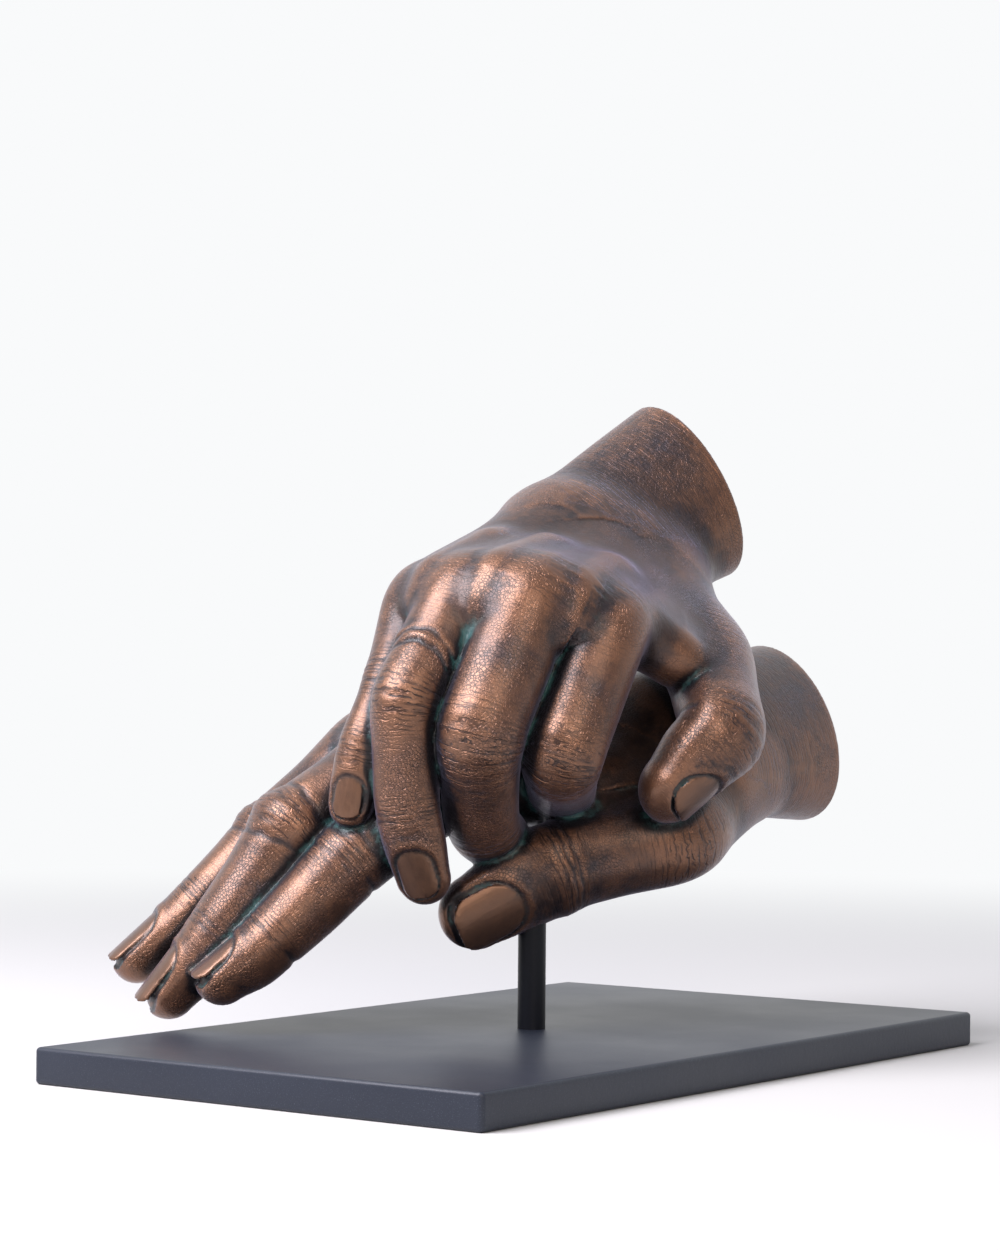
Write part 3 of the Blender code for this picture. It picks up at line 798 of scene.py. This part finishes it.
def sum_of(a, b, operation="ADD"):
    """One sum, product or other operation on two sockets or numbers."""
    node = add_node(tree, "ShaderNodeMath", operation=operation)
    for key, value in enumerate((a, b)):
        if isinstance(value, (int, float)):
            node.inputs[key].default_value = value
        else:
            tree.links.new(value, node.inputs[key])
    return node.outputs[0]


def stepped(value, low, high, start=0.0, end=1.0):
    """A value carried smoothly from start to end between low and high."""
    return add_node(tree, "ShaderNodeMapRange", [("Value", value)],
                    interpolation_type="SMOOTHSTEP", in_From_Min=low, in_From_Max=high,
                    in_To_Min=start, in_To_Max=end).outputs[0]


def blended(share, first, second):
    """Two colours mixed by a share."""
    node = add_node(tree, "ShaderNodeMix", [(0, share)], data_type="RGBA")
    for key, value in ((6, first), (7, second)):
        if isinstance(value, str):
            node.inputs[key].default_value = to_linear(value)
        else:
            tree.links.new(value, node.inputs[key])
    return node.outputs[2]


def noise(vector, scale, detail=3.0, roughness=0.5):
    """Cloudy noise; scale is in patches per unit of the vector."""
    return add_node(tree, "ShaderNodeTexNoise", [("Vector", vector)], in_Scale=scale,
                    in_Detail=detail, in_Roughness=roughness).outputs[0]


def stretched(vector, scales):
    """A vector scaled differently along each axis."""
    return add_node(tree, "ShaderNodeVectorMath", [(0, vector)], operation="MULTIPLY",
                    in_1=scales).outputs[0]


body = add_node(tree, "ShaderNodeTexCoord").outputs["Object"]
on_limb = painted("place", "Vector")
crease, nail, hollow_patina_and_shade, raised = (painted(name) for name in ("crease", "nail", "hollow_patina_and_shade", "raised"))

# Creases across the joints lie 1.2 and 2.1 mm apart and break off every few
# millimetres; between them the skin is netted with cells of about 1 mm, which
# is twice as coarse as on real skin, because finer ones don't show.
bare = sum_of(1.0, nail, "SUBTRACT")


def crease_lines(spacing, wander, breaks):
    """Lines across a limb, one per spacing in millimetres: the crests of a sine
    wave that a noise distorts, broken off where a second noise is low."""
    waves_per_mm = math.pi / 10.0
    wave = add_node(tree, "ShaderNodeTexWave", [("Vector", on_limb)], in_Scale=waves_per_mm / spacing,
                    in_Distortion=wander, in_Detail=2.0, in_Detail_Scale=0.9)
    whole = stepped(noise(stretched(on_limb, breaks), 1.0, 2.0), 0.44, 0.58)
    return sum_of(stepped(wave.outputs["Fac"], 0.72, 0.98), whole, "MULTIPLY")


fine = crease_lines(1.2, 3.2, (0.75, 0.17, 1.0))
deep = crease_lines(2.1, 4.0, (0.45, 0.12, 3.0))
lines = sum_of(sum_of(fine, sum_of(crease, 0.14), "MULTIPLY"),
               sum_of(deep, sum_of(crease, 0.9, "MULTIPLY"), "MULTIPLY"), "MAXIMUM")
lines = sum_of(lines, bare, "MULTIPLY")
cells = add_node(tree, "ShaderNodeTexVoronoi", [("Vector", body)], feature="DISTANCE_TO_EDGE",
                 in_Scale=1000.0).outputs["Distance"]
net = sum_of(stepped(cells, 0.0, 0.14, 1.0, 0.0),
             stepped(noise(body, 60.0, 2.0), 0.38, 0.62, 0.08, 0.48), "MULTIPLY")
all_lines = sum_of(lines, sum_of(net, bare, "MULTIPLY"), "MAXIMUM")

clouds = noise(body, 38.0, 4.0, 0.6)
mottle = noise(body, 300.0, 4.0, 0.65)
tone = blended(stepped(clouds, 0.32, 0.68), "30282a", "4f3c34")
tone = blended(sum_of(stepped(mottle, 0.35, 0.75), 0.40, "MULTIPLY"), tone, "63493c")
tone = blended(stepped(noise(body, 58.0, 3.0, 0.6), 0.48, 0.68, 0.0, 0.60), tone, "37363f")
rub = sum_of(stepped(sum_of(raised, sum_of(mottle, 0.7, "MULTIPLY")), 0.50, 1.55), 0.68, "MULTIPLY")
tone = blended(rub, tone, "94674a")
tone = blended(sum_of(nail, 0.60, "MULTIPLY"), tone, "6d4f3b")
tone = blended(sum_of(all_lines, 0.70, "MULTIPLY"), tone, "241c1f")
# Near black in the hollows: dark patina, plus painted shade that deepens where more skin stands close
# in front.
tone = blended(stepped(hollow_patina_and_shade, 0.10, 0.85, 0.0, 0.92), tone, "141318")
green = sum_of(painted("verdigris"), stepped(noise(body, 140.0, 3.0, 0.65), 0.40, 0.62),
               "MULTIPLY")
tone = blended(sum_of(green, 0.72, "MULTIPLY"), tone, "1d5654")
tree.links.new(tone, shader.inputs["Base Color"])
tree.links.new(stepped(green, 0.1, 0.8, 0.80, 0.15), shader.inputs["Metallic"])
rough = sum_of(stepped(mottle, 0.3, 0.7, 0.38, 0.50), sum_of(rub, 0.14, "MULTIPLY"), "SUBTRACT")
rough = sum_of(rough, sum_of(green, 0.3, "MULTIPLY"))
tree.links.new(rough, shader.inputs["Roughness"])
shader.inputs["Coat Weight"].default_value = 0.50
shader.inputs["Coat Roughness"].default_value = 0.32
shader.inputs["Sheen Weight"].default_value = 0.42
shader.inputs["Sheen Roughness"].default_value = 0.35
shader.inputs["Sheen Tint"].default_value = to_linear("b8b4d2")

# The lines are 0.36 mm deep. Nails have fine ridges along the finger, 0.8 mm
# apart, and all of the cast skin has a faint sand grain.
ridges = noise(stretched(on_limb, (0.05, 1.3, 1.0)), 1.0, 2.0)
grain = sum_of(noise(body, 2600.0, 2.0), 0.10, "MULTIPLY")
height = sum_of(sum_of(grain, sum_of(ridges, sum_of(nail, 0.16, "MULTIPLY"), "MULTIPLY")),
                sum_of(noise(body, 500.0, 3.0), 0.20, "MULTIPLY"))
height = sum_of(height, all_lines, "SUBTRACT")
relief = add_node(tree, "ShaderNodeBump", [("Height", height)], in_Strength=1.0, in_Distance=0.00036)
tree.links.new(relief.outputs[0], shader.inputs["Normal"])
settled.materials.clear()
settled.materials.append(bronze)
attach(casting, "root")
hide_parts("cast_hands")


# Setting. A pale seamless floor and backdrop in soft daylight from the upper
# left, and the camera low in front of one corner of the plate. None of it is
# part of the object.
floor_half = 6.0
floor_mesh = bpy.data.meshes.new("floor")
floor_mesh.from_pydata([(x * floor_half, y * floor_half, 0.0) for x, y in
                        ((-1, -1), (1, -1), (1, 1), (-1, 1))], [], [(0, 1, 2, 3)])
floor = bpy.data.objects.new("floor", floor_mesh)
scene.collection.objects.link(floor)

# Matt paper, uncoated: it takes the object's shadow and shows no gloss.
paper, tree, shader = new_material("matt_paper")
shader.inputs["Base Color"].default_value = to_linear("d2d0cc")
shader.inputs["Roughness"].default_value = 0.9
shader.inputs["Specular IOR Level"].default_value = 0.0
backdrop = to_linear("f9fafb")


def seen():
    """One for rays that come from the camera or off a shiny surface."""
    rays = add_node(tree, "ShaderNodeLightPath").outputs
    either = sum_of(rays["Is Camera Ray"], rays["Is Glossy Ray"], "MAXIMUM")
    return sum_of(either, rays["Is Transmission Ray"], "MAXIMUM")


# The paper rises out of sight behind the object: between 0.22 and 0.95 m from
# the rod, the floor that the camera sees runs into the backdrop's own colour.
spread_out = add_node(tree, "ShaderNodeTexCoord").outputs["Object"]
reach = add_node(tree, "ShaderNodeVectorMath", [(0, spread_out)], operation="LENGTH").outputs["Value"]
far = stepped(reach, 0.22, 0.95)
glow = add_node(tree, "ShaderNodeEmission", in_Color=backdrop)
mixed = add_node(tree, "ShaderNodeMixShader", [(0, sum_of(far, seen(), "MULTIPLY")),
                                               (1, shader.outputs[0]), (2, glow.outputs[0])])
tree.links.new(mixed.outputs[0], tree.nodes["Material Output"].inputs["Surface"])
floor_mesh.materials.append(paper)

# The room: a pale wall behind the object and a darker one behind the camera.
# What the camera and reflections see of it is apart from the sky's soft light.
world = bpy.data.worlds.new("daylight")
scene.world = world
world.use_nodes = True
tree = world.node_tree
tree.nodes.clear()
sky = add_node(tree, "ShaderNodeBackground", in_Color=to_linear("dde4f2"), in_Strength=0.55)
direction = add_node(tree, "ShaderNodeTexCoord").outputs["Generated"]
pale_wall_way = (0.807, 0.590, 0.015)
ahead = add_node(tree, "ShaderNodeVectorMath", [(0, direction)], operation="DOT_PRODUCT",
                 in_1=pale_wall_way)
room = add_node(tree, "ShaderNodeMix", [(0, stepped(ahead.outputs["Value"], -0.7, 0.6))],
                data_type="RGBA", in_6=to_linear("918d92"), in_7=backdrop)
wall = add_node(tree, "ShaderNodeBackground", [("Color", room.outputs[2])])
both = add_node(tree, "ShaderNodeMixShader", [(0, seen()), (1, sky.outputs[0]), (2, wall.outputs[0])])
add_node(tree, "ShaderNodeOutputWorld", [("Surface", both.outputs[0])])


def soft_light(name, place, size, power, color):
    """A square area light that faces the hands; metres and watts."""
    light = bpy.data.lights.new(name, "AREA")
    light.size, light.energy = size, power
    light.color = to_linear(color)[:3]
    lamp = bpy.data.objects.new(name, light)
    way = Vector((0.0, 0.0, 0.10)) - Vector(place)
    lamp.matrix_world = Matrix.Translation(place) @ way.to_track_quat("-Z", "Y").to_matrix().to_4x4()
    scene.collection.objects.link(lamp)


soft_light("window", (-0.75, 0.35, 0.95), 0.9, 29.0, "f7f5ff")
soft_light("fill", (-0.9, -1.1, 0.8), 1.0, 8.0, "ffeedd")

# The camera was solved from the plate's four visible corners.
eye_place = (-0.76491, -0.54730, 0.11115)
forward = Vector((0.80698, 0.59038, 0.01515))
right = Vector((0.59033, -0.80712, 0.00838))
up = Vector((-0.01717, -0.00218, 0.99985))
lens = bpy.data.cameras.new("camera")
lens.sensor_fit, lens.sensor_width, lens.lens = "HORIZONTAL", 36.0, 118.10
eye = bpy.data.objects.new("camera", lens)
eye.matrix_world = (Matrix.Translation(eye_place)
                    @ Matrix((right, up, -forward)).transposed().to_4x4())
scene.collection.objects.link(eye)
scene.camera = eye
